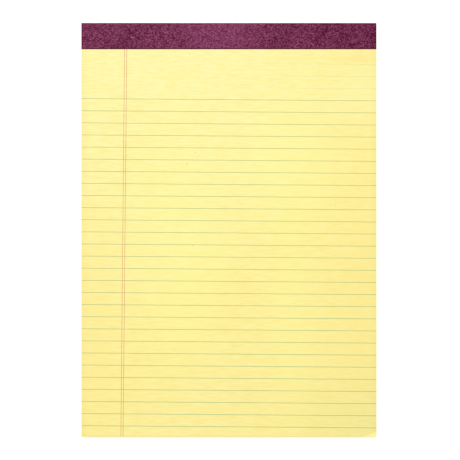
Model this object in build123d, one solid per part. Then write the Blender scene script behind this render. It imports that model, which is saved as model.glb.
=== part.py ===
from build123d import *
from math import asin, cos, degrees, pi, sin
import os

# A ruled writing pad that lies on its back: +Z is up out of the page and +Y runs to the bound head.
# The origin is under the middle of the pad, on the surface that it lies on. All sizes are in mm.

# The whole pad, trimmed flush on all sides
pad_width = 212.7
pad_length = 298.45

# The sheets, one stack that is thinner where the stitches clamp it
sheet_count = 50
sheet_thickness = 0.1
stub_squeeze = 0.35
rise_length = 28.0
head_round = 0.6

# The chipboard back, which steps up over the back flap of the tape
board_thickness = 0.76
board_head_round = 0.3
step_length = 6.0
step_clearance = 0.5

# The binding tape, folded over the head
tape_thickness = 0.2
front_flap = 19.05
back_flap = 19.05

# The dent that a stitch's end leaves in the tape
dent_width = 3.4
dent_depth = 0.1

# The wire stitches under the tape
stitch_count = 3
stitch_pitch = 63.5
stitch_crown = 13.2
stitch_inset = 8.6
wire_diameter = 0.55
wire_side_count = 12
wire_bend = 0.8
bend_run_count = 3
clinch_length = 4.8
wire_clearance = 0.05

# The tear-off perforation, just inside the tape's lower edge
perforation_inset = 0.4
slit_length = 1.4
slit_width = 0.12
slit_tie = 0.7

# The print, which is turned a little against the trimmed edges: the two skews are in degrees
rule_pitch = 8.731
rule_width = 0.3
first_rule = 55.45
last_rule_room = 6.0
rule_skew = 0.44
margin_from_left = 30.7
margin_spacing = 1.5875
margin_width = 0.3
margin_skew = 0.54
ink_thickness = 0.02
overprint_thickness = 0.01

# The curled lower corners of the top sheet: reach along the foot, reach up the side, and lift
left_curl_foot = 4.0
left_curl_side = 4.0
left_curl_lift = 0.6
right_curl_foot = 12.0
right_curl_side = 4.5
right_curl_lift = 0.8

# Lines and levels that the pieces share
half_width = pad_width / 2
foot_y = -pad_length / 2
fold_y = pad_length / 2
head_y = fold_y - tape_thickness
front_edge_y = fold_y - front_flap
back_edge_y = fold_y - back_flap
stack_thickness = sheet_count * sheet_thickness
page_z = board_thickness + stack_thickness
bound_board_z = tape_thickness + board_thickness
stub_z = bound_board_z + stack_thickness - stub_squeeze
wire_radius = wire_diameter / 2
stitch_y = fold_y - stitch_inset
first_stitch_x = -stitch_pitch * (stitch_count - 1) / 2


def ease(start, end):
    """A smooth step between two points of the side profile, level at both ends."""
    middle = (start[0] + end[0]) / 2
    return Bezier(start, (middle, start[1]), (middle, end[1]), end)


def across_pad(edges):
    """The solid that a closed side profile, in Y and Z, sweeps over the pad's width."""
    return extrude(Plane.YZ * make_face(edges), half_width, both=True)


def board_line(height):
    """The board's underside raised by a height, from the foot to the upper end of its step."""
    step_top_y = back_edge_y - step_clearance
    step_foot = (step_top_y - step_length, height)
    step_top = (step_top_y, tape_thickness + height)
    return [Line((foot_y, height), step_foot), ease(step_foot, step_top)]


def page_line(height):
    """The page's face raised by a height, from the foot to the tape's edge."""
    rise_foot = (front_edge_y - rise_length, page_z + height)
    rise_top = (front_edge_y, stub_z + height)
    return [Line((foot_y, page_z + height), rise_foot), ease(rise_foot, rise_top)]


def make_backing_board():
    under = board_line(0)
    over = board_line(board_thickness)
    foot = Line(under[0] @ 0, over[0] @ 0)
    head = FilletPolyline(
        under[1] @ 1,
        (head_y, tape_thickness),
        (head_y, bound_board_z),
        over[1] @ 1,
        radius=[board_head_round, 0],
    )
    return across_pad(under + over + [foot, head]) - stitch_cuts()


def make_page_block():
    under = board_line(board_thickness)
    over = page_line(0)
    foot = Line(under[0] @ 0, over[0] @ 0)
    head = FilletPolyline(
        under[1] @ 1,
        (head_y, bound_board_z),
        (head_y, stub_z),
        over[1] @ 1,
        radius=[0, head_round],
    )
    block = across_pad(under + over + [foot, head]) - stitch_cuts() - perforation()
    block = curl_corner(block, -1, left_curl_foot, left_curl_side, left_curl_lift)
    return curl_corner(block, 1, right_curl_foot, right_curl_side, right_curl_lift)


def perforation():
    """A row of slits through the whole stack, with a tie between each two and at both ends."""
    slit_pitch = slit_length + slit_tie
    slit_count = int((pad_width - slit_tie) / slit_pitch)
    row = Sketch() + GridLocations(slit_pitch, 0, slit_count, 1) * Rectangle(slit_length, slit_width)
    place = Pos(0, front_edge_y + perforation_inset, bound_board_z)
    return extrude(place * row, stack_thickness)


def curl_corner(block, side, reach_x, reach_y, lift):
    """Roll a lower corner of the top sheet up off the stack, about a slanting line."""
    corner = Vector(side * half_width, foot_y)
    on_foot = corner - Vector(side * reach_x, 0)
    on_side = corner + Vector(0, reach_y)
    outward = Vector(side * reach_y, -reach_x).normalized()
    depth = (corner - on_foot).dot(outward)
    roll = (depth ** 2 + lift ** 2) / (2 * lift)
    turn = degrees(asin(depth / roll))

    upper = CenterArc((0, roll), roll, -90, turn)
    lower = CenterArc((0, roll), roll + sheet_thickness, -90, turn)
    ends = [Line(upper @ 0, lower @ 0), Line(upper @ 1, lower @ 1)]
    across_fold = Plane(
        on_foot + Vector(0, 0, page_z),
        x_dir=outward,
        z_dir=outward.cross(Vector(0, 0, 1)),
    )
    fold_length = (on_side - on_foot).length
    leaf = extrude(across_fold * make_face([upper, lower] + ends), fold_length, both=True)

    patch = make_face(Polyline(corner, on_foot, on_side, close=True))
    room = extrude(Pos(0, 0, page_z - sheet_thickness) * patch, 2 * lift + sheet_thickness)
    return block - room + (leaf & room)


def make_binding_tape():
    inner = FilletPolyline(
        (front_edge_y, stub_z),
        (head_y, stub_z),
        (head_y, tape_thickness),
        (back_edge_y, tape_thickness),
        radius=[head_round, board_head_round],
    )
    outer = FilletPolyline(
        (front_edge_y, stub_z + tape_thickness),
        (fold_y, stub_z + tape_thickness),
        (fold_y, 0),
        (back_edge_y, 0),
        radius=[head_round + tape_thickness, board_head_round + tape_thickness],
    )
    edges = [Line(inner @ 0, outer @ 0), Line(inner @ 1, outer @ 1)]
    tape = across_pad([inner, outer] + edges)

    dent_radius = (dent_width ** 2 / 4 + dent_depth ** 2) / (2 * dent_depth)
    dent_x = first_stitch_x - stitch_crown / 2
    dent_z = stub_z + tape_thickness - dent_depth + dent_radius
    return tape - Pos(dent_x, stitch_y, dent_z) * Sphere(dent_radius)


def make_staple():
    """One stitch about its middle: a flat-sided wire whose bends are short straight runs."""
    bend_x = stitch_crown / 2 - wire_bend
    low_z = tape_thickness + wire_radius + wire_bend
    high_z = stub_z - wire_radius - wire_bend
    half = [(stitch_crown / 2 - clinch_length, low_z - wire_bend)]
    for bend_z, start in ((low_z, -pi / 2), (high_z, 0)):
        for i in range(bend_run_count + 1):
            turn = start + i * pi / (2 * bend_run_count)
            half.append((bend_x + wire_bend * cos(turn), bend_z + wire_bend * sin(turn)))
    other_half = [(-x, z) for x, z in reversed(half)]
    path = Polyline([(x, stitch_y, z) for x, z in half + other_half])
    section = Plane(path @ 0, z_dir=path % 0) * RegularPolygon(wire_radius, wire_side_count)
    return sweep(section, path, transition=Transition.RIGHT)


def stitch_cuts():
    """A slot round every stitch, open above its crown and below its clinched ends."""
    cut_radius = wire_radius + wire_clearance
    leg_x = stitch_crown / 2
    tip_x = leg_x - clinch_length - wire_clearance
    middle_z = (stub_z + tape_thickness) / 2
    core_height = stub_z - tape_thickness - 2 * (wire_radius + cut_radius)
    core = RectangleRounded(2 * (leg_x - cut_radius), core_height, wire_bend - cut_radius)
    outline = Rectangle(2 * (leg_x + cut_radius), stub_z - tape_thickness + wire_diameter)
    neck = Pos(0, -middle_z) * Rectangle(2 * tip_x, 2 * middle_z)
    slot = Plane.XZ * Pos(0, middle_z) * (outline - core - neck)
    return at_stitches(extrude(Pos(0, stitch_y, 0) * slot, cut_radius, both=True))


def at_stitches(shape):
    return [Pos(first_stitch_x + i * stitch_pitch, 0, 0) * shape for i in range(stitch_count)]


def printed(lines, skew, thickness):
    """Ink that follows the page inside flat line shapes, turned about the pad's middle."""
    under = page_line(0)
    over = page_line(thickness)
    ends = [Line(under[0] @ 0, over[0] @ 0), Line(under[1] @ 1, over[1] @ 1)]
    film = across_pad(under + over + ends)
    return film & extrude(Rot(0, 0, -skew) * lines, 2 * page_z)


def make_blue_rules():
    rule_count = int((pad_length - first_rule - last_rule_room) / rule_pitch) + 1
    rule = Rectangle(2 * pad_width, rule_width)
    places = [Pos(0, fold_y - first_rule - i * rule_pitch) for i in range(rule_count)]
    return printed(Sketch() + [place * rule for place in places], rule_skew, ink_thickness)


def make_margin_lines(rules):
    """The double line down the left of the page, printed over the rules."""
    line = Rectangle(margin_width, 2 * pad_length)
    middle_x = margin_from_left - half_width
    pair = [Pos(middle_x + side * margin_spacing / 2, 0) * line for side in (-1, 1)]
    return printed(Sketch() + pair, margin_skew, ink_thickness + overprint_thickness) - rules


blue_rules = make_blue_rules()
nodes = {
    "page_block": make_page_block(),
    "backing_board": make_backing_board(),
    "binding_tape": make_binding_tape(),
    "staples": Compound(at_stitches(make_staple())),
    "blue_rules": blue_rules,
    "margin_lines": make_margin_lines(blue_rules),
}

os.makedirs("parts", exist_ok=True)
for name, shape in nodes.items():
    export_step(shape, f"parts/{name}.step")
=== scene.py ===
import math
import random

import bmesh
import bpy
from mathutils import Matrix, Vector


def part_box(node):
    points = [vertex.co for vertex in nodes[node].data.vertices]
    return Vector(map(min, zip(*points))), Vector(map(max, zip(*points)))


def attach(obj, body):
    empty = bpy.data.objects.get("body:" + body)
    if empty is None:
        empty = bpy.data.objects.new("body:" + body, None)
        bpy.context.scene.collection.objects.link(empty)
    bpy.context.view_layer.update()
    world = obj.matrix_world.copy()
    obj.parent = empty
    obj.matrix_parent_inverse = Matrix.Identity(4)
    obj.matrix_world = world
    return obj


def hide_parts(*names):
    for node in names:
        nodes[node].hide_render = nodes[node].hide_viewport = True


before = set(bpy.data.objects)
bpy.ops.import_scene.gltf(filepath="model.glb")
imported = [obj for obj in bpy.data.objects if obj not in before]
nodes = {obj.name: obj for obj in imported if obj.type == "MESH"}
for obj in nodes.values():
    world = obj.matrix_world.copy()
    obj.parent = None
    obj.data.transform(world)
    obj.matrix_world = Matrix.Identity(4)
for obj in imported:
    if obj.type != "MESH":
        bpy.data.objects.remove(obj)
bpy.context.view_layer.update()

# A ruled yellow pad with a maroon leather-grain band, seen from straight above, in metres.
# The sheets and the band are modelled here. The board, the wire and the print are the frame's own
# solids with a finish on them.

mm = 0.001
tiny = 0.001 * mm                             # what is nearer than this is at the same place
pageLow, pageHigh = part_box("page_block")
tapeLow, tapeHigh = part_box("binding_tape")
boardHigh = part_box("backing_board")[1]
halfWidth = pageHigh.x
footY, headY = pageLow.y, pageHigh.y
flapY = tapeLow.y                             # both flaps of the band end here
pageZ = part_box("blue_rules")[0].z             # the printed face of the top sheet
boardZ = pageLow.z                            # the board's upper face
tapeThickness = boardHigh.z - boardZ
stubZ = tapeHigh.z - tapeThickness            # the top sheet where the band clamps it
print("frame loaded: the page lies", round(pageZ / mm, 2), "mm up")


# Helpers for modelling

def addedPiece(name):
    # names the primitive that was just added and puts its place and size into its mesh
    piece = bpy.context.object
    piece.name = name
    piece.data.name = name
    bpy.ops.object.transform_apply(location=True, rotation=True, scale=True)
    return piece


def pick(piece, kind, wanted):
    # selects those vertices, edges or faces of a piece in edit mode that wanted() says yes to
    bpy.ops.mesh.select_mode(type=kind)
    mesh = bmesh.from_edit_mesh(piece.data)
    parts = {"VERT": mesh.verts, "EDGE": mesh.edges, "FACE": mesh.faces}[kind]
    for part in parts:
        part.select_set(False)
    for part in parts:
        if wanted(part):
            part.select_set(True)
    mesh.select_flush_mode()
    bmesh.update_edit_mesh(piece.data)


def applyModifier(piece, kind, settings):
    modifier = piece.modifiers.new(kind.lower(), kind)
    for name, value in settings.items():
        setattr(modifier, name, value)
    bpy.ops.object.modifier_apply(modifier=modifier.name)


# The sheets: loose leaves that lie on each other and are clamped thinner under the band

sheets = {
    "count": 50,
    "gap": 0.12,                 # share of a sheet's height that is air
    "rise": 28 * mm,             # the stack swells over this length below the band
    "riseFolds": 10,             # and bends in this many short flats
    "boardStep": 6 * mm,         # the board steps up over the back flap within this length
    "boardStepGap": 0.5 * mm,
    "stepFolds": 4,
    "headRound": 0.6 * mm,
    "cornerStrip": 15 * mm,      # the curls lie within this length from the foot
    "fan": 0.010,                # degrees by which a sheet lies askew
    "slip": 0.04 * mm,           # and how far its foot is off the others
    "curlShares": (1.0, 0.45, 0.15),     # the top sheet curls most, and two below it follow
    "curlSteps": 8,
    "seed": 7,                   # for how the sheets lie
    "toneSeed": 11,              # for how light their cut edges are
}
leftCurl = {"side": -1, "alongFoot": 4.0 * mm, "upSide": 4.0 * mm, "lift": 0.6 * mm}
rightCurl = {"side": 1, "alongFoot": 12.0 * mm, "upSide": 4.5 * mm, "lift": 0.8 * mm}


def easedHeight(y, start, end):
    # a smooth step from one point of the side profile to another, level at both ends: the curve's
    # parameter t at this y is found by halving
    share = min(max((y - start[0]) / (end[0] - start[0]), 0), 1)
    low, high = 0.0, 1.0
    for _ in range(30):
        t = (low + high) / 2
        if 1.5 * t - 1.5 * t ** 2 + t ** 3 < share:
            low = t
        else:
            high = t
    return start[1] + (end[1] - start[1]) * (3 * t ** 2 - 2 * t ** 3)


def boardTop(y):
    stepTop = flapY - sheets["boardStepGap"]
    stepFoot = stepTop - sheets["boardStep"]
    return easedHeight(y, (stepFoot, boardZ), (stepTop, boardZ + tapeThickness))


def pageTop(y):
    return easedHeight(y, (flapY - sheets["rise"], pageZ), (flapY, stubZ))


def sheetRows():
    # the lines across a sheet at which it bends
    rows = [footY, footY + sheets["cornerStrip"], 0, headY]
    stepTop = flapY - sheets["boardStepGap"]
    for top, length, folds in (
        (flapY, sheets["rise"], sheets["riseFolds"]),
        (stepTop, sheets["boardStep"], sheets["stepFolds"]),
    ):
        rows += [top - length * i / folds for i in range(folds + 1)]
    return sorted(rows)


def makeSheetStack():
    pitch = (pageZ - boardZ) / sheets["count"]
    thickness = pitch * (1 - sheets["gap"])
    bpy.ops.object.select_all(action="DESELECT")
    bpy.ops.mesh.primitive_cube_add(
        size=1,
        location=(0, (footY + headY) / 2, boardZ + pitch - thickness / 2),
        scale=(2 * halfWidth, headY - footY, thickness),
    )
    stack = addedPiece("sheetStack")
    bpy.ops.object.mode_set(mode="EDIT")
    for y in sheetRows()[1:-1]:
        bpy.ops.mesh.select_all(action="SELECT")
        bpy.ops.mesh.bisect(plane_co=(0, y, 0), plane_no=(0, 1, 0))
    bpy.ops.object.mode_set(mode="OBJECT")
    sheetSize = len(stack.data.vertices)
    applyModifier(stack, "ARRAY", {
        "count": sheets["count"],
        "use_relative_offset": False,
        "use_constant_offset": True,
        "constant_offset_displace": (0, 0, pitch),
    })

    toneSheets(stack, sheetSize)
    bpy.ops.object.mode_set(mode="EDIT")
    for y in sheetRows():
        pick(stack, "VERT", lambda v: abs(v.co.y - y) < tiny)
        squeeze = (pageTop(y) - boardTop(y)) / (pageZ - boardZ)
        bpy.ops.transform.resize(value=(1, 1, squeeze), center_override=(0, y, boardZ))
        bpy.ops.transform.translate(value=(0, 0, boardTop(y) - boardZ))
    roundHead(stack)
    fanSheets(stack, sheetSize)
    for depth, share in enumerate(sheets["curlShares"]):
        top = pageZ - depth * pitch
        curlSheet(stack, top - thickness, top, leftCurl, share)
        curlSheet(stack, top - thickness, top, rightCurl, share)
    bpy.ops.object.mode_set(mode="OBJECT")
    return stack


def toneSheets(stack, sheetSize):
    # gives each sheet a number of its own, from 0 to 1, for the tone of its cut edge
    rng = random.Random(sheets["toneSeed"])
    tones = [rng.random() for _ in range(sheets["count"])]
    attribute = stack.data.attributes.new("sheetTone", "FLOAT", "POINT")
    attribute.data.foreach_set("value", [
        tones[i // sheetSize] for i in range(len(stack.data.vertices))
    ])


def roundHead(stack):
    # the upper sheets draw back where the band folds over them
    radius = sheets["headRound"]
    mesh = bmesh.from_edit_mesh(stack.data)
    digits = 7                    # a tenth of a thousandth of a mm, so that each level counts once
    levels = {round(v.co.z, digits) for v in mesh.verts if abs(v.co.y - headY) < tiny}
    for z in sorted(levels):
        rise = z - (stubZ - radius)
        if rise > 0:
            pick(stack, "VERT", lambda v: abs(v.co.y - headY) < tiny and abs(v.co.z - z) < tiny)
            back = radius - math.sqrt(max(radius ** 2 - rise ** 2, 0))
            bpy.ops.transform.translate(value=(0, -back, 0))


def fanSheets(stack, sheetSize):
    # every sheet but the top one lies a hair askew
    rng = random.Random(sheets["seed"])
    riseFoot = flapY - sheets["rise"] + mm
    for sheet in range(sheets["count"] - 1):
        pick(stack, "VERT", lambda v: v.index // sheetSize == sheet and v.co.y < riseFoot)
        bpy.ops.transform.rotate(
            value=math.radians(rng.gauss(0, 1) * sheets["fan"]),
            orient_axis="Z",
            center_override=(0, headY, 0),
        )
        pick(stack, "VERT", lambda v: v.index // sheetSize == sheet and v.co.y < footY + mm)
        bpy.ops.transform.translate(value=(0, rng.gauss(0, 1) * sheets["slip"], 0))


def curlSheet(stack, low, high, curl, share):
    # rolls a lower corner of one sheet up, about a slanting line
    reachX, reachY = curl["alongFoot"], curl["upSide"]
    lift = curl["lift"] * share
    foldPoint = Vector((curl["side"] * (halfWidth - reachX), footY, 0))
    outward = Vector((curl["side"] * reachY, -reachX, 0)).normalized()
    depth = reachX * reachY / math.hypot(reachX, reachY)
    roll = (depth ** 2 + lift ** 2) / (2 * lift)
    step = depth / sheets["curlSteps"]

    def inSheet(v):
        inStrip = v.co.y < footY + sheets["cornerStrip"] + mm
        return inStrip and low - tiny < v.co.z < high + tiny

    for i in range(sheets["curlSteps"]):
        pick(stack, "FACE", lambda face: all(inSheet(v) for v in face.verts))
        bpy.ops.mesh.bisect(plane_co=foldPoint + outward * step * i, plane_no=outward)
    for i in range(sheets["curlSteps"], 0, -1):
        distance = step * i
        pick(stack, "VERT", lambda v: (
            inSheet(v) and abs((v.co - foldPoint).dot(outward) - distance) < step / 3
        ))
        bpy.ops.transform.translate(value=(0, 0, roll - math.sqrt(roll ** 2 - distance ** 2)))


# Helpers for node trees and finishes

def linearColor(hexValue):
    # an sRGB colour such as #743552 as the shader's linear values
    channels = [int(hexValue[i:i + 2], 16) / 255 for i in (1, 3, 5)]
    return [c / 12.92 if c <= 0.04045 else ((c + 0.055) / 1.055) ** 2.4 for c in channels] + [1]


def addNode(tree, kind, settings=None, links=None):
    # adds a node, sets its properties and plain sockets, and links its other sockets
    node = tree.nodes.new(kind)
    for name, value in (settings or {}).items():
        if isinstance(name, str) and hasattr(node, name):
            setattr(node, name, value)
        else:
            node.inputs[name].default_value = value
    for name, source in (links or {}).items():
        tree.links.new(source, node.inputs[name])
    return node


def softPatch(tree, place, middle, reach, turn, amount):
    # a soft oval about a point of the page or the band, in mm, with its long side turned by degrees
    local = addNode(tree, "ShaderNodeMapping", {
        "vector_type": "TEXTURE",
        "Location": (middle[0] * mm, middle[1] * mm, 0),
        "Rotation": (0, 0, math.radians(turn)),
        "Scale": (reach[0] * mm, reach[1] * mm, 1),
    }, {"Vector": place})
    away = addNode(tree, "ShaderNodeVectorMath", {"operation": "LENGTH"}, {0: local.outputs[0]})
    mask = addNode(tree, "ShaderNodeMapRange", {
        "interpolation_type": "SMOOTHSTEP",
        "From Min": 1.0,
        "From Max": 0.0,
        "To Max": amount,
    }, {"Value": away.outputs["Value"]})
    return mask.outputs[0]


def newFinish(name, roughness, specular):
    material = bpy.data.materials.new(name)
    material.use_nodes = True
    shader = material.node_tree.nodes["Principled BSDF"]
    shader.inputs["Roughness"].default_value = roughness
    shader.inputs["Specular IOR Level"].default_value = specular
    return material, material.node_tree, shader


def dress(node, material):
    for slot in node.material_slots:
        slot.material = material


# The band: one strip of embossed tape, folded over the head of the pad

band = {
    "cell": 0.3 * mm,            # the mesh's squares on the front and the fold
    "backCell": 0.6 * mm,
    "frontBend": 0.8 * mm,
    "backBend": 0.5 * mm,
    "bendSteps": 6,
    "pebble": 0.95 * mm,         # width of a pebble in the embossed grain
    "flatness": 1.6,             # the pebbles are this much wider than high
    "grooveShare": 0.3,          # half a groove's width as a share of a pebble
    "stir": 0.9 * mm,            # how far the pebbles are pulled out of shape
    "grainDepth": 0.05 * mm,
    "dentPlace": (-70.1 * mm, 140.625 * mm),      # over the end of a stitch
    "dentRadius": 1.7 * mm,
    "dentDepth": 0.1 * mm,
}


def pebbledGrain(tree, place):
    # the embossing, for the mesh and for the finish: 0 in a groove and 1 on a pebble; with it the
    # stirred place by which the pebbles are laid out
    size = band["pebble"]
    place = addNode(tree, "ShaderNodeVectorMath", {
        "operation": "MULTIPLY",
        1: (1, band["flatness"], 1),
    }, {0: place}).outputs[0]
    noise = addNode(tree, "ShaderNodeTexNoise", {
        "Scale": 0.5 / size,
        "Detail": 1.0,
    }, {"Vector": place})
    centred = addNode(tree, "ShaderNodeVectorMath", {
        "operation": "SUBTRACT",
        1: (0.5, 0.5, 0.5),
    }, {0: noise.outputs["Color"]})
    stirred = addNode(tree, "ShaderNodeVectorMath", {
        "operation": "MULTIPLY_ADD",
        1: [band["stir"]] * 3,
    }, {0: centred.outputs[0], 2: place})
    cells = addNode(tree, "ShaderNodeTexVoronoi", {
        "feature": "DISTANCE_TO_EDGE",
        "Scale": 1 / size,
    }, {"Vector": stirred.outputs[0]})
    tops = addNode(tree, "ShaderNodeMapRange", {
        "interpolation_type": "SMOOTHSTEP",
        "From Max": band["grooveShare"],
    }, {"Value": cells.outputs["Distance"]})
    return tops.outputs["Result"], stirred.outputs[0]


def grainModifierTree():
    # pushes the outer face of the band in along its grooves
    tree = bpy.data.node_groups.new("pebbledGrain", "GeometryNodeTree")
    tree.interface.new_socket("Geometry", in_out="INPUT", socket_type="NodeSocketGeometry")
    tree.interface.new_socket("Geometry", in_out="OUTPUT", socket_type="NodeSocketGeometry")
    source = addNode(tree, "NodeGroupInput")
    place = addNode(tree, "GeometryNodeInputPosition").outputs[0]
    tops, _ = pebbledGrain(tree, place)
    outer = addNode(tree, "GeometryNodeInputNamedAttribute", {
        "data_type": "FLOAT",
        "Name": "outer",
    })
    push = addNode(tree, "ShaderNodeMath", {
        "operation": "MULTIPLY_ADD",
        1: band["grainDepth"],
        2: -band["grainDepth"],
    }, {0: tops})
    push = addNode(tree, "ShaderNodeMath", {"operation": "MULTIPLY"}, {
        0: push.outputs[0],
        1: outer.outputs["Attribute"],
    })
    normal = addNode(tree, "GeometryNodeInputNormal").outputs[0]
    offset = addNode(tree, "ShaderNodeVectorMath", {"operation": "SCALE"}, {
        0: normal,
        "Scale": push.outputs[0],
    })
    moved = addNode(tree, "GeometryNodeSetPosition", {}, {
        "Geometry": source.outputs[0],
        "Offset": offset.outputs[0],
    })
    addNode(tree, "NodeGroupOutput", {}, {0: moved.outputs[0]})
    return tree


def bandSteps():
    # once round the band's section: over the page, down the head, back under the board, and home
    # along the inner face; with it the number of steps that make the outer face
    height = tapeHigh.z - tapeLow.z
    frontRun = tapeHigh.y - flapY - band["frontBend"]
    headRun = height - band["frontBend"] - band["backBend"]
    backRun = tapeHigh.y - flapY - band["backBend"]
    innerFront, innerBack = band["frontBend"] - tapeThickness, band["backBend"] - tapeThickness
    turn = math.pi / 2 / band["bendSteps"]
    heading = 0
    steps = []
    outerCount = 0
    for run, cell, side, radius in (
        (frontRun, band["cell"], 1, band["frontBend"]),
        (headRun, band["cell"], 1, band["backBend"]),
        (backRun, band["backCell"], 1, 0),
        (tapeThickness, tapeThickness, 1, 0),
        (backRun, backRun, -1, innerBack),
        (headRun, headRun, -1, innerFront),
        (frontRun, frontRun, 1, 0),
        (tapeThickness, tapeThickness, 1, 0),
    ):
        count = round(run / cell)
        steps += [(run / count, heading)] * count
        if radius:
            chord = 2 * radius * math.sin(turn / 2)
            steps += [(chord, heading + side * (i + 0.5) * turn) for i in range(band["bendSteps"])]
        heading += side * math.pi / 2
        if cell == band["backCell"]:
            outerCount = len(steps)
    moves = [(0, length * math.cos(angle), -length * math.sin(angle)) for length, angle in steps]
    return moves, outerCount


def makeBand():
    steps, outerCount = bandSteps()
    firstY = steps[0][1]
    sliceCount = round(2 * halfWidth / band["cell"])
    sliceWidth = 2 * halfWidth / sliceCount
    bpy.ops.object.select_all(action="DESELECT")
    bpy.ops.mesh.primitive_plane_add(
        size=1,
        location=(sliceWidth / 2 - halfWidth, flapY + firstY / 2, tapeHigh.z),
    )
    bpy.context.object.scale = (sliceWidth, firstY, 1)
    strip = addedPiece("bindingBand")
    bpy.ops.object.mode_set(mode="EDIT")
    pick(strip, "EDGE", lambda edge: all(v.co.y > flapY + firstY / 2 for v in edge.verts))
    for step in steps[1:-1]:
        bpy.ops.mesh.extrude_region_move(TRANSFORM_OT_translate={"value": step})
    pick(strip, "VERT", lambda v: v.index < 2 or v.index >= 2 * len(steps) - 2)
    bpy.ops.mesh.edge_face_add()
    bpy.ops.object.mode_set(mode="OBJECT")
    strip.vertex_groups.new(name="outer")
    bpy.ops.object.mode_set(mode="EDIT")
    pick(strip, "VERT", lambda v: v.index < 2 * (outerCount + 1))
    bpy.ops.object.vertex_group_assign()
    bpy.ops.object.mode_set(mode="OBJECT")
    applyModifier(strip, "ARRAY", {
        "count": sliceCount,
        "use_relative_offset": False,
        "use_constant_offset": True,
        "constant_offset_displace": (sliceWidth, 0, 0),
        "use_merge_vertices": True,
        "merge_threshold": tiny,
    })

    bpy.ops.object.mode_set(mode="EDIT")
    for endX in (-halfWidth, halfWidth):
        pick(strip, "EDGE", lambda edge: all(
            abs(v.co.x - endX) < sliceWidth / 2 for v in edge.verts
        ))
        bpy.ops.mesh.edge_face_add()
    bpy.ops.mesh.select_all(action="SELECT")
    bpy.ops.mesh.normals_make_consistent(inside=False)
    pressDent(strip)
    bpy.ops.object.mode_set(mode="OBJECT")
    applyModifier(strip, "NODES", {"node_group": grainModifierTree()})
    bpy.ops.object.shade_smooth_by_angle(angle=math.radians(40))
    return strip


def pressDent(strip):
    # the hollow that the end of a stitch has left, in the outer face only
    dent = Vector((*band["dentPlace"], tapeHigh.z))
    pick(strip, "VERT", lambda v: (v.co - dent).length < band["cell"] / 2 ** 0.5)
    bpy.ops.transform.translate(
        value=(0, 0, -band["dentDepth"]),
        use_proportional_edit=True,
        use_proportional_connected=True,
        proportional_edit_falloff="SMOOTH",
        proportional_size=band["dentRadius"],
    )


# Finishes

paperFinish = {
    "litHeadColor": "#FBF7B7",       # painted light: paler towards the band, where the light is brighter
    "footColor": "#FFF2A3",
    "headLightEnd": 0.35 * footY,
    "rightShadeColor": "#FCEC98",       # painted shade: deeper in tone towards the right
    "rightShadeSpan": (-0.2 * halfWidth, 1.3 * halfWidth),
    "rightShadeAmount": 0.7,
    "rimColor": "#EBDA8C",        # darker, a few mm in from the sides
    "rimWidth": 5.0 * mm,
    "rimAmount": 0.3,
    "cloudColor": "#F8E283",      # the uneven look-through of machine-made paper
    "cloud": 7.0 * mm,
    "cloudSpan": (0.3, 0.7),      # of the noise, from nothing to all of the amount
    "cloudAmount": 0.10,
    "fibreColor": "#F6E481",
    "fibre": 1.1 * mm,            # drawn coarser than it is, so that it shows
    "fibreStretch": 8.0,          # the fibres lie along the web, across the page
    "fibreSpan": (0.32, 0.68),
    "fibreAmount": 0.55,
    "fibreHeight": 0.02 * mm,
    "lemonColor": "#FEFBA0",      # wide clouds of the sheet, greener and redder in tone
    "warmColor": "#FDE78E",
    "cornerShadeColor": "#E6E096",     # painted shade: a little grey by the curled corner
    "bandBounceColor": "#F6D98A",      # painted light: a faint warm patch under the band's right end, the band's colour cast back onto the page
    "patches": [                  # colour, x, y, reach across, reach along in mm and amount
        ("lemonColor", -35, -7, 55, 150, 0.35), ("lemonColor", 40, 50, 60, 80, 0.35),
        ("lemonColor", 44, -72, 32, 110, 0.25), ("warmColor", -97, -80, 25, 120, 0.25),
        ("warmColor", 97, -40, 28, 85, 0.25), ("litHeadColor", 100, 97, 48, 30, 0.3),
        ("cornerShadeColor", 106, -149, 75, 75, 0.3), ("bandBounceColor", 93.0, 123.5, 24.0, 6.0, 0.3),
    ],
    "footLineColor": "#F0DC74",      # a deeper yellow along the foot
    "footLineWidth": 0.9 * mm,
    "footLineAmount": 0.8,
    "curlLightColor": "#FBF2A2",       # painted light: the curled corner is paler where it stands off the page
    "curlRise": (0.002 * mm, 0.05 * mm),
    "curlLightAmount": 0.85,
    "tipShadeColor": "#F4DE60",        # painted shade: the tip of the left one is a strong yellow, where light goes between the sheets
    "tipPlace": (-105.6, -148.2),
    "tipReach": (3.2, 2.4),
    "tipTurn": 45,
    "tipAmount": 0.8,
    "ghostColor": "#D2DAA0",      # ruling of the sheet's other side, showing through the header
    "ghostStart": 93.775 * mm,    # the y that its rules are counted from, upwards
    "ghostPitch": 8.731 * mm,
    "ghostRules": (1, 3),         # the first and the last that show
    "ghostWidth": 0.3 * mm,
    "ghostSkew": 0.44,            # degrees
    "ghostSpan": (-0.2 * halfWidth, 0.9 * halfWidth),
    "ghostAmount": 0.6,
    "speckColor": "#9C8F62",
    "speckAmount": 0.4,
    "specks": [                   # x, y and radius of the bark specks in the pulp, in mm
        (-24.1, 55.7, 0.45), (-29.8, 47.7, 0.50), (76.8, 18.2, 0.32), (-26.2, -11.3, 0.40),
        (70.3, 113.3, 0.30),
    ],
    "edgeColor": "#F9E58C",       # the cut edges, where light goes from sheet to sheet
    "edgeSlope": (0.6, 0.3),      # Z of the normal, from a face of the page to a cut one
    "layer": 0.8 * mm,            # sheets of one tone lie in layers this thick, so that they show
    "layerTone": 2.2,             # how much one layer differs from the next
    "sheetTone": 0.35,            # and one sheet from the next
    "toneShift": -0.65,           # brings the usual tone a little past the middle
}


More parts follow.
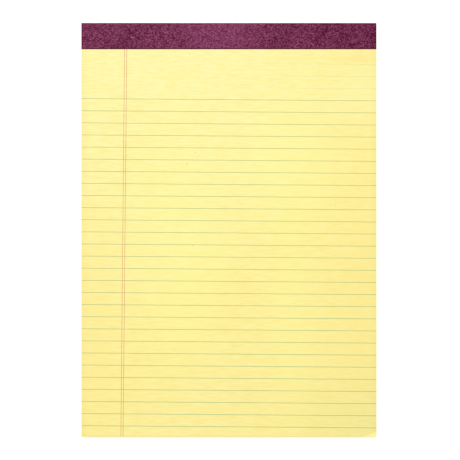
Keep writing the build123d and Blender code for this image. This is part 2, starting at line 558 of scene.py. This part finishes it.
def canaryPaper():
    # uncoated machine-made paper: matt and a little cloudy, with short fibres and a speck here
    # and there
    look = paperFinish
    material, tree, shader = newFinish("uncoatedCanaryPaper", 0.85, 0.15)
    place = addNode(tree, "ShaderNodeTexCoord").outputs["Object"]
    axes = addNode(tree, "ShaderNodeSeparateXYZ", {}, {0: place})
    along = addNode(tree, "ShaderNodeMapping", {
        "Scale": (1 / look["fibreStretch"], 1, 1),
    }, {"Vector": place})
    fibre = addNode(tree, "ShaderNodeTexNoise", {
        "Scale": 1 / look["fibre"],
        "Detail": 2.0,
    }, {"Vector": along.outputs[0]}).outputs["Fac"]

    # painted light: the sheet paler towards the head and deeper in tone towards the foot
    down = addNode(tree, "ShaderNodeMapRange", {
        "From Min": headY,
        "From Max": look["headLightEnd"],
    }, {"Value": axes.outputs["Y"]})
    color = addNode(tree, "ShaderNodeMix", {
        "data_type": "RGBA",
        6: linearColor(look["litHeadColor"]),
        7: linearColor(look["footColor"]),
    }, {0: down.outputs[0]}).outputs[2]
    layers = sheetLayers(tree, place, axes, fibre)
    for name, x, y, reachX, reachY, amount in look["patches"]:
        layers.append((name, softPatch(tree, place, (x, y), (reachX, reachY), 0, amount)))
    layers += footLayers(tree, place, axes)
    layers.append(("ghostColor", ghostRules(tree, place, axes)))
    for x, y, radius in look["specks"]:
        reach = (2 * radius, 2 * radius)
        mask = softPatch(tree, place, (x, y), reach, 0, look["speckAmount"])
        layers.append(("speckColor", mask))
    for name, mask in layers:
        color = addNode(tree, "ShaderNodeMix", {
            "data_type": "RGBA",
            7: linearColor(look[name]),
        }, {0: mask, 6: color}).outputs[2]
    tree.links.new(edgeToned(tree, place, color), shader.inputs["Base Color"])

    bump = addNode(tree, "ShaderNodeBump", {
        "Strength": 0.25,
        "Distance": look["fibreHeight"],
    }, {"Height": fibre})
    tree.links.new(bump.outputs[0], shader.inputs["Normal"])
    return material


def sheetLayers(tree, place, axes, fibre):
    # the layers of colour over the whole sheet, each with its mask: the painted shade to the right,
    # the darker sides, the clouds and the fibres
    look = paperFinish
    # painted shade, growing towards the right
    toRight = addNode(tree, "ShaderNodeMapRange", {
        "interpolation_type": "SMOOTHSTEP",
        "From Min": look["rightShadeSpan"][0],
        "From Max": look["rightShadeSpan"][1],
        "To Max": look["rightShadeAmount"],
    }, {"Value": axes.outputs["X"]})
    fromMiddle = addNode(tree, "ShaderNodeMath", {"operation": "ABSOLUTE"}, {0: axes.outputs["X"]})
    rim = addNode(tree, "ShaderNodeMapRange", {
        "From Min": halfWidth - look["rimWidth"],
        "From Max": halfWidth,
        "To Max": look["rimAmount"],
    }, {"Value": fromMiddle.outputs[0]})
    cloud = addNode(tree, "ShaderNodeTexNoise", {
        "Scale": 1 / look["cloud"],
        "Detail": 4.0,
    }, {"Vector": place})
    cloudy = addNode(tree, "ShaderNodeMapRange", {
        "From Min": look["cloudSpan"][0],
        "From Max": look["cloudSpan"][1],
        "To Max": look["cloudAmount"],
    }, {"Value": cloud.outputs["Fac"]})
    fibrous = addNode(tree, "ShaderNodeMapRange", {
        "From Min": look["fibreSpan"][0],
        "From Max": look["fibreSpan"][1],
        "To Max": look["fibreAmount"],
    }, {"Value": fibre})
    return [
        ("rightShadeColor", toRight.outputs[0]),
        ("rimColor", rim.outputs[0]),
        ("cloudColor", cloudy.outputs[0]),
        ("fibreColor", fibrous.outputs[0]),
    ]


def footLayers(tree, place, axes):
    # the same for the foot: the deeper line along it, the painted light on the curled corners and
    # the painted shade at the left tip
    look = paperFinish
    footLine = addNode(tree, "ShaderNodeMapRange", {
        "From Min": footY + look["footLineWidth"],
        "From Max": footY,
        "To Max": look["footLineAmount"],
    }, {"Value": axes.outputs["Y"]})
    # painted light on the curled corners, where they stand off the page
    raised = addNode(tree, "ShaderNodeMapRange", {
        "From Min": pageZ + look["curlRise"][0],
        "From Max": pageZ + look["curlRise"][1],
        "To Max": look["curlLightAmount"],
    }, {"Value": axes.outputs["Z"]})
    # painted shade at the left tip
    tip = softPatch(
        tree, place, look["tipPlace"], look["tipReach"], look["tipTurn"], look["tipAmount"]
    )
    return [
        ("footLineColor", footLine.outputs[0]),
        ("curlLightColor", raised.outputs[0]),
        ("tipShadeColor", tip),
    ]


def ghostRules(tree, place, axes):
    # a mask of the rules of the sheet's other side, plainer towards the right
    look = paperFinish
    turned = addNode(tree, "ShaderNodeMapping", {
        "Rotation": (0, 0, math.radians(look["ghostSkew"])),
    }, {"Vector": place})
    level = addNode(tree, "ShaderNodeSeparateXYZ", {}, {0: turned.outputs[0]}).outputs["Y"]
    count = addNode(tree, "ShaderNodeMath", {
        "operation": "MULTIPLY_ADD",
        1: 1 / look["ghostPitch"],
        2: -look["ghostStart"] / look["ghostPitch"],
    }, {0: level}).outputs[0]
    rule = addNode(tree, "ShaderNodeMath", {"operation": "ROUND"}, {0: count}).outputs[0]
    off = addNode(tree, "ShaderNodeMath", {"operation": "SUBTRACT"}, {0: count, 1: rule})
    off = addNode(tree, "ShaderNodeMath", {"operation": "ABSOLUTE"}, {0: off.outputs[0]})
    onLine = addNode(tree, "ShaderNodeMath", {
        "operation": "LESS_THAN",
        1: look["ghostWidth"] / look["ghostPitch"] / 2,
    }, {0: off.outputs[0]})
    first, last = look["ghostRules"]
    inHeader = addNode(tree, "ShaderNodeMath", {
        "operation": "COMPARE",
        1: (first + last) / 2,
        2: (last - first) / 2 + 0.1,
    }, {0: rule})
    toRight = addNode(tree, "ShaderNodeMapRange", {
        "interpolation_type": "SMOOTHSTEP",
        "From Min": look["ghostSpan"][0],
        "From Max": look["ghostSpan"][1],
        "To Max": look["ghostAmount"],
    }, {"Value": axes.outputs["X"]})
    mask = onLine.outputs[0]
    for share in (inHeader, toRight):
        mask = addNode(tree, "ShaderNodeMath", {"operation": "MULTIPLY"}, {
            0: mask,
            1: share.outputs[0],
        }).outputs[0]
    return mask


def edgeToned(tree, place, color):
    # the cut sides of the stack are deeper in tone, each sheet a little different
    look = paperFinish
    normal = addNode(tree, "ShaderNodeNewGeometry").outputs["Normal"]
    upright = addNode(tree, "ShaderNodeSeparateXYZ", {}, {0: normal}).outputs["Z"]
    cut = addNode(tree, "ShaderNodeMapRange", {
        "From Min": look["edgeSlope"][0],
        "From Max": look["edgeSlope"][1],
    }, {"Value": upright})
    # hardly any change along the edge, so that the noise makes level layers
    flat = addNode(tree, "ShaderNodeMapping", {"Scale": (0.02, 0.02, 1)}, {"Vector": place})
    layer = addNode(tree, "ShaderNodeTexNoise", {
        "Scale": 1 / look["layer"],
        "Detail": 1.0,
    }, {"Vector": flat.outputs[0]})
    sheet = addNode(tree, "ShaderNodeAttribute", {"attribute_name": "sheetTone"})
    tone = addNode(tree, "ShaderNodeMath", {
        "operation": "MULTIPLY_ADD",
        1: look["sheetTone"],
        2: look["toneShift"],
    }, {0: sheet.outputs["Fac"]})
    tone = addNode(tree, "ShaderNodeMath", {
        "operation": "MULTIPLY_ADD",
        "use_clamp": True,
        1: look["layerTone"],
    }, {0: layer.outputs["Fac"], 2: tone.outputs[0]})
    edge = addNode(tree, "ShaderNodeMix", {
        "data_type": "RGBA",
        6: linearColor(look["footColor"]),
        7: linearColor(look["edgeColor"]),
    }, {0: tone.outputs[0]})
    return addNode(tree, "ShaderNodeMix", {"data_type": "RGBA"}, {
        0: cut.outputs[0],
        6: color,
        7: edge.outputs[2],
    }).outputs[2]


tapeFinish = {
    "darkColor": "#520228",
    "lightColor": "#A4527C",
    "tone": 0.42,                 # 0 is all dark and 1 all light
    "pebbleTone": 1.1,            # how much one pebble differs from the next
    "blotch": 3.5 * mm,           # soft blotches of the dye, and how much they differ
    "blotchTone": 0.38,
    "patch": 18.0 * mm,           # and wider ones
    "patchTone": 0.35,
    # painted shade in the grooves of the grain
    "grooveShadeColor": "#440425",
    "grooveShadeAmount": 0.55,
    "grooveRoughness": 0.7,
    "pebbleRoughness": 0.45,
    "paintedSheen": (-4.0, 140.0, 51.0, 200.0, 0.28),     # paler in the middle, a painted sheen: x, y, reaches, amount
    "dulled": (20.0, 106.0, 0.19),       # darker towards the right end: from x to x, in mm
    "edgeWidth": 0.9 * mm,        # the rim, darkened by painted shade at the band's ends and flap edges
    "edgeDark": 0.9,
    "coreColor": "#8A2A2C",       # the paper under the dye, where the fold is rubbed
    "coreSpan": (-0.8 * halfWidth, -0.1 * halfWidth),
    "foldIn": 0.2 * mm,           # the shaded and rubbed part is round this line, in from the head
    "foldDown": 0.35 * mm,        # and below the band's face
    "foldRadius": 0.65 * mm,
    "foldShadeAndWear": 0.9,
    "scuffAndGlintColor": "#D2869F",
    "darkSpots": [                # x, y, half length, half height in mm and amount
        (-73.0, 145.6, 8.0, 3.2, 0.16), (47.6, 140.3, 4.5, 3.0, 0.14),
        (63.4, 135.2, 6.0, 3.0, 0.14), (83.6, 139.8, 4.0, 3.2, 0.16),
        (-60.0, 141.0, 6.5, 2.2, 0.09), (-84.0, 133.6, 7.0, 2.6, 0.08),
        # the last one is painted shade on the dent's upper side
        (-69.9, 141.5, 2.9, 1.7, 0.22),
    ],
    "scratchesAndGlints": [                # x, y, half length, half width in mm, turn in degrees and amount
        (-46.4, 142.6, 5.0, 0.45, -48, 0.45), (-44.3, 142.2, 5.4, 0.45, -50, 0.40),
        # these two make the pale crescent under the dent: a scuff with a painted glint
        (-70.1, 138.75, 1.5, 0.40, -16, 0.8), (-68.7, 138.75, 1.5, 0.40, 14, 0.7),
    ],
}


def leatherGrainTape():
    # paper tape, dyed maroon and embossed with a leather grain: matt grooves and a low sheen on
    # the pebbles
    look = tapeFinish
    material, tree, shader = newFinish("embossedLeatheretteTape", 0.5, 0.15)
    shader.inputs["IOR"].default_value = 1.35
    place = addNode(tree, "ShaderNodeTexCoord").outputs["Object"]
    axes = addNode(tree, "ShaderNodeSeparateXYZ", {}, {0: place})
    tops, stirred = pebbledGrain(tree, place)
    color = addNode(tree, "ShaderNodeMix", {
        "data_type": "RGBA",
        6: linearColor(look["darkColor"]),
        7: linearColor(look["lightColor"]),
    }, {0: tapeTone(tree, place, axes, stirred)}).outputs[2]
    # painted shade in the grooves
    grooved = addNode(tree, "ShaderNodeMapRange", {
        "To Min": look["grooveShadeAmount"],
        "To Max": 0.0,
    }, {"Value": tops})
    layers = [("grooveShadeColor", grooved.outputs[0])]
    for x, y, length, width, turn, amount in look["scratchesAndGlints"]:
        mask = softPatch(tree, place, (x, y), (length, width), turn, amount)
        layers.append(("scuffAndGlintColor", mask))
    for name, mask in layers:
        color = addNode(tree, "ShaderNodeMix", {
            "data_type": "RGBA",
            7: linearColor(look[name]),
        }, {0: mask, 6: color}).outputs[2]
    color = shadedAndRubbedFold(tree, place, axes, color)
    tree.links.new(color, shader.inputs["Base Color"])

    rough = addNode(tree, "ShaderNodeMapRange", {
        "To Min": look["grooveRoughness"],
        "To Max": look["pebbleRoughness"],
    }, {"Value": tops})
    tree.links.new(rough.outputs[0], shader.inputs["Roughness"])
    bump = addNode(tree, "ShaderNodeBump", {
        "Strength": 0.6,
        "Distance": band["grainDepth"],
    }, {"Height": tops})
    tree.links.new(bump.outputs[0], shader.inputs["Normal"])
    return material


def shadedAndRubbedFold(tree, place, axes, color):
    # painted shade along the fold: a dark line at the left; towards the right the dye is rubbed off
    # and the core shows
    look = tapeFinish
    endless = 1000                # metres, so that the place along the band doesn't count
    fromFold = addNode(tree, "ShaderNodeMapping", {
        "vector_type": "TEXTURE",
        "Location": (0, tapeHigh.y - look["foldIn"], tapeHigh.z - look["foldDown"]),
        "Scale": (endless, look["foldRadius"], look["foldRadius"]),
    }, {"Vector": place})
    fromFold = addNode(tree, "ShaderNodeVectorMath", {"operation": "LENGTH"}, {
        0: fromFold.outputs[0],
    })
    onFold = addNode(tree, "ShaderNodeMapRange", {
        "From Min": 1.0,
        "From Max": 0.5,
        "To Max": look["foldShadeAndWear"],
    }, {"Value": fromFold.outputs["Value"]})
    toRight = addNode(tree, "ShaderNodeMapRange", {
        "From Min": look["coreSpan"][0],
        "From Max": look["coreSpan"][1],
    }, {"Value": axes.outputs["X"]})
    shadeToCore = addNode(tree, "ShaderNodeMix", {
        "data_type": "RGBA",
        6: linearColor(look["grooveShadeColor"]),
        7: linearColor(look["coreColor"]),
    }, {0: toRight.outputs[0]})
    return addNode(tree, "ShaderNodeMix", {"data_type": "RGBA"}, {
        0: onFold.outputs[0],
        6: color,
        7: shadeToCore.outputs[2],
    }).outputs[2]


def tapeTone(tree, place, axes, stirred):
    # how light the band is: the dye pebble by pebble, in soft blotches and from one end of the band
    # to the other, with a painted sheen in the middle and painted shade at its edges and in the
    # dent
    look = tapeFinish
    pebble = addNode(tree, "ShaderNodeTexVoronoi", {"Scale": 1 / band["pebble"]}, {
        "Vector": stirred,
    })
    pebble = addNode(tree, "ShaderNodeSeparateColor", {}, {0: pebble.outputs["Color"]}).outputs[0]
    # a painted sheen, paler in the middle of the band
    middleX, middleY, reachX, reachY, paler = look["paintedSheen"]
    paintedSheen = softPatch(tree, place, (middleX, middleY), (reachX, reachY), 0, paler)
    dullFrom, dullTo, duller = look["dulled"]
    dulled = addNode(tree, "ShaderNodeMapRange", {
        "From Min": dullFrom * mm,
        "From Max": dullTo * mm,
        "To Max": duller,
    }, {"Value": axes.outputs["X"]}).outputs[0]

    # each part has a weight and a usual value, which leaves the tone as it is
    parts = [(pebble, look["pebbleTone"], 0.5)]
    for source, size, weight in (
        (stirred, band["pebble"], 1.0),
        (place, look["blotch"], look["blotchTone"]),
        (place, look["patch"], look["patchTone"]),
    ):
        noise = addNode(tree, "ShaderNodeTexNoise", {"Scale": 1 / size, "Detail": 1.0}, {
            "Vector": source,
        })
        parts.append((noise.outputs["Fac"], weight, 0.5))
    parts += [
        (paintedSheen, 1, 0),
        (dulled, -1, 0),
        (edgeShade(tree, axes), -look["edgeDark"], 0),
    ]
    for x, y, length, height, amount in look["darkSpots"]:
        parts.append((softPatch(tree, place, (x, y), (length, height), 0, amount), -1, 0))
    level = look["tone"] - sum(weight * usual for _, weight, usual in parts)
    tone = None
    for value, weight, _ in parts:
        total = addNode(tree, "ShaderNodeMath", {
            "operation": "MULTIPLY_ADD",
            1: weight,
            2: level,
        }, {0: value})
        if tone:
            tree.links.new(tone, total.inputs[2])
        tone = total.outputs[0]
    return addNode(tree, "ShaderNodeClamp", {}, {0: tone}).outputs[0]


def edgeShade(tree, axes):
    # painted shade: 1 at the ends of the band and at the cut edges of its flaps, 0 a little way in
    look = tapeFinish
    fromMiddle = addNode(tree, "ShaderNodeMath", {"operation": "ABSOLUTE"}, {0: axes.outputs["X"]})
    fromEnd = addNode(tree, "ShaderNodeMath", {"operation": "SUBTRACT", 0: halfWidth}, {
        1: fromMiddle.outputs[0],
    })
    fromFlap = addNode(tree, "ShaderNodeMath", {"operation": "SUBTRACT", 1: flapY}, {
        0: axes.outputs["Y"],
    })
    inside = addNode(tree, "ShaderNodeMath", {"operation": "MINIMUM"}, {
        0: fromEnd.outputs[0],
        1: fromFlap.outputs[0],
    })
    shade = addNode(tree, "ShaderNodeMapRange", {
        "From Min": look["edgeWidth"],
        "From Max": look["edgeWidth"] / 2,
    }, {"Value": inside.outputs[0]})
    return shade.outputs[0]


boardFinish = {
    "color": "#9C8E7C",
    "lightColor": "#B5A996",
    "mottle": 9.0 * mm,
    "mottleSpan": (0.2, 0.8),     # of the noise, from one colour to the other
    "darkColor": "#7C6F60",
    "fleck": 0.9 * mm,            # drawn coarser than it is, so that it shows
    "fleckSpan": (0.45, 0.75),
    "fleckAmount": 0.5,
    "bitSpan": (0.88, 0.93),      # about a tenth of the cells are bits of dark paper
    "bitAmount": 0.6,
    "ply": 0.15 * mm,             # the layers that show on the cut edge
    "relief": 0.05 * mm,
}


def greyChipboard():
    # unbleached board of pulped waste paper: matt, grey-brown, with flecks of other papers
    look = boardFinish
    material, tree, shader = newFinish("greyChipboard", 0.92, 0.15)
    place = addNode(tree, "ShaderNodeTexCoord").outputs["Object"]
    layered = addNode(tree, "ShaderNodeMapping", {"Scale": (1, 1, look["fleck"] / look["ply"])}, {
        "Vector": place,
    }).outputs[0]
    mottle = addNode(tree, "ShaderNodeTexNoise", {"Scale": 1 / look["mottle"], "Detail": 3.0}, {
        "Vector": layered,
    })
    fleck = addNode(tree, "ShaderNodeTexNoise", {"Scale": 1 / look["fleck"], "Detail": 3.0}, {
        "Vector": layered,
    })
    bits = addNode(tree, "ShaderNodeTexVoronoi", {"Scale": 0.5 / look["fleck"]}, {
        "Vector": layered,
    })
    bits = addNode(tree, "ShaderNodeSeparateColor", {}, {0: bits.outputs["Color"]})
    mottled = addNode(tree, "ShaderNodeMapRange", {
        "From Min": look["mottleSpan"][0],
        "From Max": look["mottleSpan"][1],
    }, {"Value": mottle.outputs["Fac"]})
    color = addNode(tree, "ShaderNodeMix", {
        "data_type": "RGBA",
        6: linearColor(look["color"]),
        7: linearColor(look["lightColor"]),
    }, {0: mottled.outputs[0]}).outputs[2]
    for value, span, amount in (
        (fleck.outputs["Fac"], look["fleckSpan"], look["fleckAmount"]),
        (bits.outputs[0], look["bitSpan"], look["bitAmount"]),
    ):
        dark = addNode(tree, "ShaderNodeMapRange", {
            "From Min": span[0],
            "From Max": span[1],
            "To Max": amount,
        }, {"Value": value})
        color = addNode(tree, "ShaderNodeMix", {
            "data_type": "RGBA",
            7: linearColor(look["darkColor"]),
        }, {0: dark.outputs[0], 6: color}).outputs[2]
    tree.links.new(color, shader.inputs["Base Color"])
    bump = addNode(tree, "ShaderNodeBump", {"Strength": 0.4, "Distance": look["relief"]}, {
        "Height": fleck.outputs["Fac"],
    })
    tree.links.new(bump.outputs[0], shader.inputs["Normal"])
    return material


inkFinish = {
    "blueHead": "#A1B37C",        # the ruling prints paler near the head
    "blueFoot": "#76B489",
    "paleFrom": 0.7 * headY,
    "red": "#D8906F",
    "redPale": "#E0A67C",
    "skip": 6.0 * mm,             # length of the places where the ink takes less well
    "skipSpan": (0.3, 0.7),
    "skipAmount": 0.25,
}


def rulingInk(name, strong, pale, fadesToHead):
    # water-based ruling ink, laid on by a pen disc: it sinks in unevenly along the line
    look = inkFinish
    material, tree, shader = newFinish(name, 0.8, 0.15)
    place = addNode(tree, "ShaderNodeTexCoord").outputs["Object"]
    skip = addNode(tree, "ShaderNodeTexNoise", {"Scale": 1 / look["skip"], "Detail": 2.0}, {
        "Vector": place,
    })
    amount = addNode(tree, "ShaderNodeMapRange", {
        "From Min": look["skipSpan"][0],
        "From Max": look["skipSpan"][1],
        "To Max": look["skipAmount"],
    }, {"Value": skip.outputs["Fac"]}).outputs[0]
    if fadesToHead:
        height = addNode(tree, "ShaderNodeSeparateXYZ", {}, {0: place}).outputs["Y"]
        faded = addNode(tree, "ShaderNodeMapRange", {
            "From Min": footY,
            "From Max": look["paleFrom"],
        }, {"Value": height})
        amount = addNode(tree, "ShaderNodeMath", {"operation": "ADD", "use_clamp": True}, {
            0: amount,
            1: faded.outputs[0],
        }).outputs[0]
    color = addNode(tree, "ShaderNodeMix", {
        "data_type": "RGBA",
        6: linearColor(strong),
        7: linearColor(pale),
    }, {0: amount}).outputs[2]
    tree.links.new(color, shader.inputs["Base Color"])
    return material


wireFinish = {
    "darkColor": "#A9ABAA",
    "lightColor": "#D2D3D0",
    "streak": 0.3 * mm,
    "roughness": (0.28, 0.45),
}


def galvanisedWire():
    # drawn steel wire with a thin zinc coat: fine streaks and a soft shine
    look = wireFinish
    material, tree, shader = newFinish("galvanisedWire", 0.35, 0.5)
    shader.inputs["Metallic"].default_value = 1
    place = addNode(tree, "ShaderNodeTexCoord").outputs["Object"]
    streak = addNode(tree, "ShaderNodeTexNoise", {"Scale": 1 / look["streak"], "Detail": 2.0}, {
        "Vector": place,
    }).outputs["Fac"]
    color = addNode(tree, "ShaderNodeMix", {
        "data_type": "RGBA",
        6: linearColor(look["darkColor"]),
        7: linearColor(look["lightColor"]),
    }, {0: streak}).outputs[2]
    tree.links.new(color, shader.inputs["Base Color"])
    rough = addNode(tree, "ShaderNodeMapRange", {
        "To Min": look["roughness"][0],
        "To Max": look["roughness"][1],
    }, {"Value": streak})
    tree.links.new(rough.outputs[0], shader.inputs["Roughness"])
    return material


# The pieces

sheetStack = makeSheetStack()
sheetStack.data.materials.append(canaryPaper())
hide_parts("page_block")
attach(sheetStack, "root")
print("sheets made:", len(sheetStack.data.polygons), "faces")

bindingBand = makeBand()
bindingBand.data.materials.append(leatherGrainTape())
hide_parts("binding_tape")
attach(bindingBand, "root")
print("band made:", len(bindingBand.data.polygons), "faces")

blueInk = rulingInk("blueRulingInk", inkFinish["blueFoot"], inkFinish["blueHead"], True)
redInk = rulingInk("redRulingInk", inkFinish["red"], inkFinish["redPale"], False)
dress(nodes["backing_board"], greyChipboard())
dress(nodes["staples"], galvanisedWire())
dress(nodes["blue_rules"], blueInk)
dress(nodes["margin_lines"], redInk)
print("board, wire and print dressed")


# The stage: a pale floor, soft light from above and a lamp towards the head

stage = {
    "floorSize": 6.0,
    "floorDrop": 0.05 * mm,      # it lies this much lower than the pad
    "floorTone": 0.8,
    "floorGlow": 0.50,           # added to what the camera sees of it, so that it is white there
    "worldLight": 0.57,          # for the pad; the camera sees a world of 1
    "lampPower": 24.5,           # watts
    "lampSize": 1.0,
    "lampPlace": (-0.16, 0.8, 2.0),
}


def seenDirectly(tree):
    # 1 for a ray from the camera, a shiny face or a clear piece, 0 for one that only brings light
    rays = addNode(tree, "ShaderNodeLightPath")
    seen = addNode(tree, "ShaderNodeMath", {"operation": "ADD"}, {
        0: rays.outputs["Is Camera Ray"],
        1: rays.outputs["Is Glossy Ray"],
    })
    return addNode(tree, "ShaderNodeMath", {"operation": "ADD", "use_clamp": True}, {
        0: seen.outputs[0],
        1: rays.outputs["Is Transmission Ray"],
    }).outputs[0]


def makeFloor():
    bpy.ops.object.select_all(action="DESELECT")
    bpy.ops.mesh.primitive_plane_add(size=stage["floorSize"], location=(0, 0, -stage["floorDrop"]))
    floor = addedPiece("floor")
    material = bpy.data.materials.new("whiteCard")
    material.use_nodes = True
    tree = material.node_tree
    tree.nodes.clear()
    card = addNode(tree, "ShaderNodeBsdfDiffuse", {"Color": [stage["floorTone"]] * 3 + [1]})
    glow = addNode(tree, "ShaderNodeEmission", {
        "Color": (1, 1, 1, 1),
        "Strength": stage["floorGlow"],
    })
    white = addNode(tree, "ShaderNodeAddShader", {}, {0: card.outputs[0], 1: glow.outputs[0]})
    both = addNode(tree, "ShaderNodeMixShader", {}, {
        0: seenDirectly(tree),
        1: card.outputs[0],
        2: white.outputs[0],
    })
    addNode(tree, "ShaderNodeOutputMaterial", {}, {"Surface": both.outputs[0]})
    floor.data.materials.append(material)


def makeLight():
    world = bpy.data.worlds.new("softRoom")
    bpy.context.scene.world = world
    world.use_nodes = True
    tree = world.node_tree
    tree.nodes.clear()
    strength = addNode(tree, "ShaderNodeMapRange", {"To Min": stage["worldLight"], "To Max": 1.0}, {
        "Value": seenDirectly(tree),
    })
    sky = addNode(tree, "ShaderNodeBackground", {"Color": (1, 1, 1, 1)}, {
        "Strength": strength.outputs[0],
    })
    addNode(tree, "ShaderNodeOutputWorld", {}, {"Surface": sky.outputs[0]})

    bpy.ops.object.light_add(type="AREA", location=stage["lampPlace"])
    lamp = bpy.context.object
    lamp.name = "softLamp"
    lamp.data.energy = stage["lampPower"]
    lamp.data.size = stage["lampSize"]
    lamp.rotation_euler = (-Vector(stage["lampPlace"])).to_track_quat("-Z", "Y").to_euler()


photoView = {
    "lens": 85,                  # mm, as is the sensor's width
    "sensor": 36,
    "photoWidth": 460,           # pixels
    "pixelsPerMetre": 1387.4,    # at the page's face
    "padCentre": (228.9, 229.8),     # the pixel where the photograph shows the pad's middle
}


def makeCamera():
    # looks straight down from where the frame is as wide as the photograph at the page's face
    scale = photoView["pixelsPerMetre"]
    frameWidth = photoView["photoWidth"] / scale
    height = frameWidth * photoView["lens"] / photoView["sensor"]
    middle = photoView["photoWidth"] / 2
    padX, padY = photoView["padCentre"]
    bpy.ops.object.camera_add(
        location=((middle - padX) / scale, (padY - middle) / scale, pageZ + height),
        rotation=(0, 0, 0),
    )
    camera = bpy.context.object
    camera.data.lens = photoView["lens"]
    camera.data.sensor_width = photoView["sensor"]
    bpy.context.scene.camera = camera


makeFloor()
makeLight()
makeCamera()
bpy.context.scene.view_settings.view_transform = "Standard"
print("stage set")
